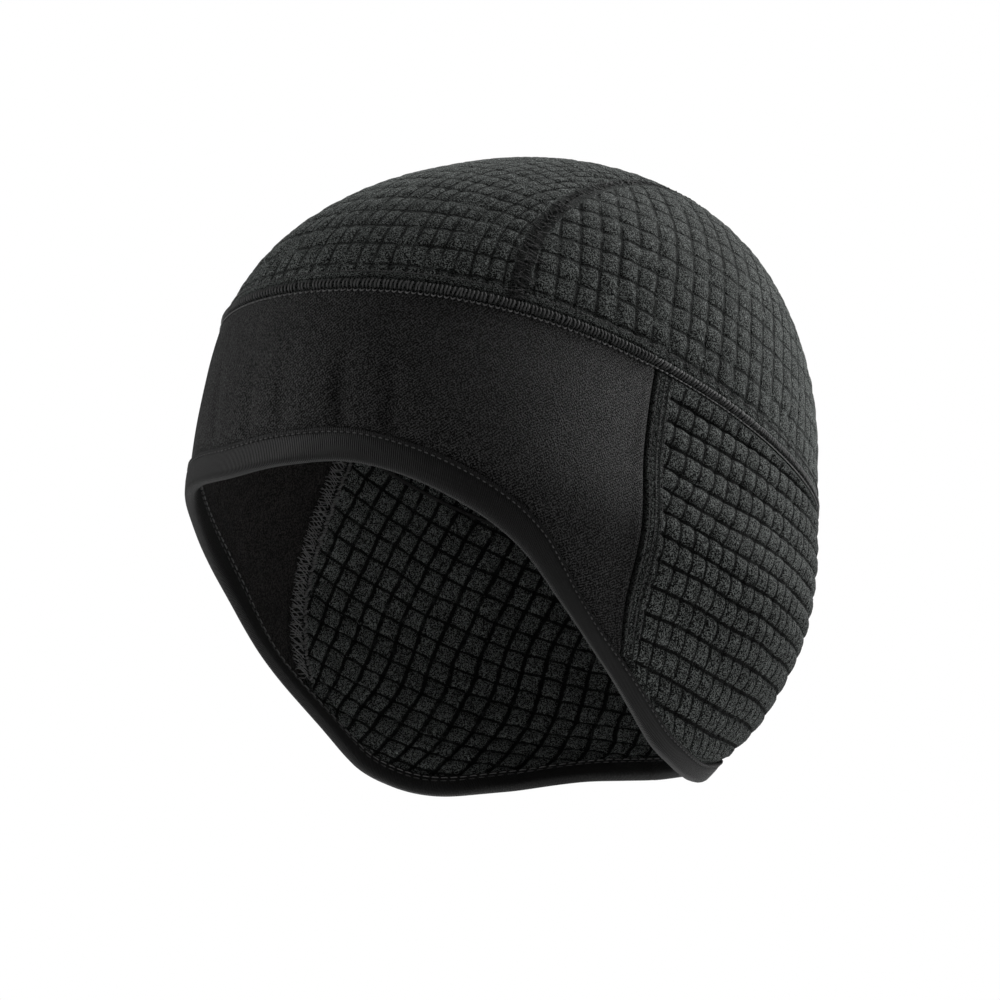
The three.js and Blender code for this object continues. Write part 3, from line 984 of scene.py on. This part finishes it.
def binding_stitches(name, up, lift, length_of, pitch, material):
    """Row of short stitches along the tape."""
    angle, step = even_angles(edge_height, pitch)
    dash = np.linspace(-0.5, 0.5, 7)
    turn_per_metre = np.gradient(np.unwrap(angle)) / step
    a = angle[:, None] + dash[None, :] * length_of * turn_per_metre[:, None]
    arch = 1 - (2 * dash) ** 2
    paths = edge_points(a, up, lift + np.sign(lift) * 0.12 * MM * arch[None, :])
    piece = threads(name, paths, edge_normals(a, up), 0.2 * MM, material)
    return piece


# Crown seam's threads


def seam_points(angle, up, lift):
    """Points at a distance up from the crown seam, lifted off the skin."""
    angle, up, lift = np.broadcast_arrays(angle, up, lift)
    seam_turn = turn_of(seam_height(angle))
    rate = length(skin(angle, seam_turn + PROBE) - skin(angle, seam_turn - PROBE)) / (2 * PROBE)
    turn = seam_turn - up / rate
    return lifted(angle, turn, lift), turned(normal(angle, turn))


def round_the_seam(step):
    """Even angles round the crown seam."""
    return even_angles(seam_height, step)[0]


def stitch_angles(angle, pitch, reach):
    """Angles of each stitch's points: reach says how far they lie along the seam from the stitch's middle."""
    rate = np.gradient(np.unwrap(angle))[:, None] / pitch
    return angle[:, None] + reach * rate


def crown_seam_ladder():
    """Upright stitches of the flat seam, lighter in front of the nape."""
    rng = np.random.default_rng(5)
    pitch = 1.1 * MM
    angle = round_the_seam(pitch)
    angle = angle + rng.normal(0, 0.0016, angle.shape)
    share = np.linspace(0, 1, 7)
    slant = at_side(angle)[:, None] * 1.6 * MM
    a = stitch_angles(angle, pitch, (share[None, :] - 0.5) * (slant + rng.normal(0, 0.22 * MM, slant.shape)))
    up = 0.35 * MM + (2.6 * MM + rng.normal(0, 0.12 * MM, slant.shape)) * share[None, :]
    lift = np.interp(up, STRIP_AT, STRIP_LIFT) + 0.2 * MM + 0.1 * MM * np.sin(np.pi * share)
    lift = lift - 0.4 * MM * past_ear(angle)[:, None] * near(share - 0.5, 0.4)
    paths, normals = seam_points(a, up, lift)
    nape = past_ear(angle) > 0.5
    made = []
    for name, part, material in (("front", ~nape, thread_light), ("nape", nape, thread_dark)):
        piece = threads("crown_seam_ladder_" + name, paths[part], normals[part], 0.29 * MM, material, 0.8)
        made.append(piece)
    return made


def crown_seam_loops():
    """Loops of bright thread that hang from the ladder onto the band."""
    pitch = 1.75 * MM
    angle = round_the_seam(pitch)
    share = np.linspace(0, 1, 9)
    a = stitch_angles(angle, pitch, (share - 0.5)[None, :] * 1.35 * MM)
    dip = np.sin(np.pi * share)[None, :]
    up = -0.15 * MM - (0.95 - 0.4 * at_side(angle)[:, None]) * MM * dip
    lift = -0.35 * MM + 0.5 * MM * dip
    paths, normals = seam_points(a, up, lift)
    return [threads("crown_seam_loops", paths, normals, 0.19 * MM, thread_bright)]


def crown_seam_top_line():
    """Row of short stitches along the top of the seam's strip."""
    pitch = 1.5 * MM
    angle = round_the_seam(pitch)
    share = np.linspace(0, 1, 7)
    a = stitch_angles(angle, pitch, (share - 0.5)[None, :] * 1.2 * MM)
    up = 5.7 * MM + 0.35 * MM * at_side(angle)[:, None] * np.sin(TAU * share)[None, :]
    lift = -0.3 * MM + 0.3 * MM * np.sin(np.pi * share)[None, :]
    paths, normals = seam_points(a, up, lift)
    return [threads("crown_seam_top_line", paths, normals, 0.17 * MM, thread_light)]


def crown_seam_inner_cord():
    """Dark cord inside, over the gap between the panels."""
    angle = round_the_seam(2 * MM)
    paths, normals = seam_points(angle[None, :], 0, -2.2 * MM)
    return [threads("crown_seam_inner_cord", paths, normals, 0.62 * MM, thread_dark, closed=True)]


def crown_seam_threads():
    made = crown_seam_ladder() + crown_seam_loops() + crown_seam_top_line() + crown_seam_inner_cord()
    return [piece for piece in made]


def zigzag(rng, count, width, slant):
    """Messy stitches across a strip: offsets along and across it, one row a stitch."""
    share = np.linspace(-0.5, 0.5, 6)[None, :]
    way = np.where(np.arange(count) % 2 == 0, 1, -1)[:, None]
    reach = width * (1 + rng.normal(0, 0.12, (count, 1)))
    aside = rng.normal(0, 0.08 * width, (count, 1))
    bend = rng.normal(0, 0.12 * width, (count, 1)) * np.cos(np.pi * share)
    return share * slant * way + bend, share * reach + aside


def panel_seam_threads(name, side, seed):
    """Threads over the seam between two crown panels."""
    rng = np.random.default_rng(seed)
    count = 260
    over = np.linspace(0.035, np.pi - 0.06, count)[:, None] + rng.normal(0, 0.006, (count, 1))
    run, across = zigzag(rng, count, 3.4 * MM, 2.2 * MM)
    run = run * rng.uniform(-0.6, 1.9, (count, 1))
    across = across * rng.uniform(0.4, 1.0, (count, 1)) + rng.normal(0, 0.35 * MM, (count, 1))
    over = over + run / CROWN_HEIGHT
    heading = leaning_heading(seam_lean(np.degrees(over)) + across / HALF_WIDTH, over)
    heading = heading * np.array([side, 1, 1])
    angle, turn = crown_spot(heading)
    arch = np.cos(np.pi * np.linspace(-0.5, 0.5, 6))[None, :]
    lift = -0.12 * MM + 0.22 * MM * arch + rng.normal(0, 0.1 * MM, (count, 1))
    paths = lifted(angle, turn, lift)
    return threads(name, paths, turned(normal(angle, turn)), 0.12 * MM, thread_dark)


def side_seam_points(side, fall, aside, lift):
    """Points beside a side seam: aside is towards the nape."""
    angle = side_seam(fall)
    top = seam_height(angle)
    height = top + (edge_height(angle) - top) * fall
    angle = side * (angle + aside / HALF_WIDTH)
    turn = turn_of(height)
    return lifted(angle, turn, lift), turned(normal(angle, turn))


def side_seam_threads(name, side, seed):
    """Sewing of a side seam: rows of upright stitches outside, and an overlocked edge with a ridge inside."""
    rng = np.random.default_rng(seed)
    made = []
    upright = np.linspace(-0.5, 0.5, 5)[None, :]
    count = 42
    rows = []
    for aside in (1.1 * MM, 2.7 * MM, 4.3 * MM):
        fall = np.linspace(0.03, 0.86, count)[:, None] + rng.normal(0, 0.002, (count, 1))
        lift = np.broadcast_to(0.12 * MM * np.cos(np.pi * upright), (count, 5))
        rows.append(side_seam_points(side, fall + upright * 0.014, aside, lift))
    paths, normals = [np.concatenate(part) for part in zip(*rows)]
    made.append(threads(name + "_stitches", paths, normals, 0.17 * MM, thread_light))

    count = 150
    run, across = zigzag(rng, count, 4.2 * MM, 2.0 * MM)
    fall = np.linspace(0.01, 0.88, count)[:, None] + run / (85 * MM)
    arch = np.cos(np.pi * np.linspace(-0.5, 0.5, 6))[None, :]
    lift = -2.6 * MM - 0.35 * MM * arch + rng.normal(0, 0.06 * MM, (count, 1))
    paths, normals = side_seam_points(side, fall, across - 0.4 * MM, lift)
    made.append(threads(name + "_overlock", paths, normals, 0.17 * MM, thread_bright))

    count = 88
    fall = np.linspace(0.01, 0.88, count)[:, None] + np.linspace(-0.5, 0.5, 6)[None, :] * 0.009
    wave = 0.4 * MM * np.sin(np.linspace(0, TAU, 6))[None, :]
    aside = 2.4 * MM + wave + rng.normal(0, 0.25 * MM, (count, 1))
    lift = -2.9 * MM - 0.2 * MM * arch + rng.normal(0, 0.12 * MM, (count, 1))
    paths, normals = side_seam_points(side, fall, aside, lift)
    made.append(threads(name + "_ridge", paths, normals, 0.36 * MM, thread_bright))
    return [piece for piece in made]


# Floor, light and camera

FLOOR_HEIGHT = -0.34
FLOOR_REACH = 1.5
ROOM_LIGHT = 0.18
LIGHTS_AIM = Vector((0, -0.03, -0.08))

# Lamps: name, place, size and power
LAMPS = [
    ("key", (0.22, 0.95, 0.92), 0.7, 40),
    ("side", (1.0, 0.45, 0.1), 0.6, 0.4),
    ("left", (-0.78, -0.75, 0.32), 0.6, 7),
    ("low", (-0.3, -0.95, -0.25), 0.5, 3.5),
]

# Camera, placed as the photo's was
LENS = 79.11
SENSOR_WIDTH = 36
CAMERA_AT = Vector((0.48131, -0.47461, -0.22068))
CAMERA_AIM = Vector((-0.01068, -0.04204, -0.0996))


def aimed(start, end):
    """Turn of a lamp or a camera that looks from one point at another."""
    return (end - start).to_track_quat("-Z", "Y").to_euler()


def pale_floor():
    floor = bpy.data.meshes.new("floor")
    signs = [(-1, -1), (1, -1), (1, 1), (-1, 1)]
    corners = [(x * FLOOR_REACH, y * FLOOR_REACH, FLOOR_HEIGHT) for x, y in signs]
    floor.from_pydata(corners, [], [(0, 1, 2, 3)])
    floor_object = bpy.data.objects.new("floor", floor)
    bpy.context.scene.collection.objects.link(floor_object)
    n = Nodes("floor_pale")
    n.link(n.mix(n.noise(3, 2), grey(0.78), grey(0.82)), n.shader.inputs["Base Color"])
    n.shader.inputs["Roughness"].default_value = 0.9
    floor.materials.append(n.material)


def studio_light():
    """White to the camera, and a weaker white light on the cap."""
    world = bpy.data.worlds.new("studio")
    world.use_nodes = True
    tree = world.node_tree
    background = tree.nodes["Background"]
    background.inputs[0].default_value = (1, 1, 1, 1)
    seen = tree.nodes.new("ShaderNodeLightPath").outputs["Is Camera Ray"]
    strength = tree.nodes.new("ShaderNodeMapRange")
    strength.inputs["To Min"].default_value = ROOM_LIGHT
    strength.inputs["To Max"].default_value = 1.0
    tree.links.new(seen, strength.inputs["Value"])
    tree.links.new(strength.outputs[0], background.inputs[1])
    bpy.context.scene.world = world

    for name, place, size, power in LAMPS:
        light = bpy.data.lights.new(name, "AREA")
        light.size = size
        light.energy = power
        holder = bpy.data.objects.new(name, light)
        holder.location = place
        holder.rotation_euler = aimed(Vector(place), LIGHTS_AIM)
        bpy.context.scene.collection.objects.link(holder)


def photo_camera():
    lens = bpy.data.cameras.new("camera")
    lens.lens = LENS
    lens.sensor_width = SENSOR_WIDTH
    lens.clip_start = 0.01
    camera = bpy.data.objects.new("camera", lens)
    camera.location = CAMERA_AT
    camera.rotation_euler = aimed(CAMERA_AT, CAMERA_AIM)
    bpy.context.scene.collection.objects.link(camera)
    bpy.context.scene.camera = camera
    bpy.context.scene.view_settings.view_transform = "Standard"


pale_floor()
studio_light()
photo_camera()
centre = crown_centre()
left = crown_side("crown_left_fleece", "crown_left_panel", 1, 21)
right = crown_side("crown_right_fleece", "crown_right_panel", -1, 22)
ears = ear_and_nape()
band = forehead()
tape = binding()
seam = crown_seam_threads()
seam.append(panel_seam_threads("panel_seam_threads_left", 1, 61))
seam.append(panel_seam_threads("panel_seam_threads_right", -1, 62))
sewing = side_seam_threads("side_seam_left", 1, 63) + side_seam_threads("side_seam_right", -1, 64)
stitches = [
    binding_stitches("binding_stitches_outside", 7.3 * MM, 0.18 * MM, 0.95 * MM, 1.75 * MM, thread_light),
    binding_stitches("binding_stitches_inside", 7.4 * MM, -3.2 * MM, 2.2 * MM, 3.0 * MM, thread_bright),
    binding_stitches("binding_stitches_inner_line", 5.9 * MM, -3.3 * MM, 2.0 * MM, 3.0 * MM, thread_light),
]
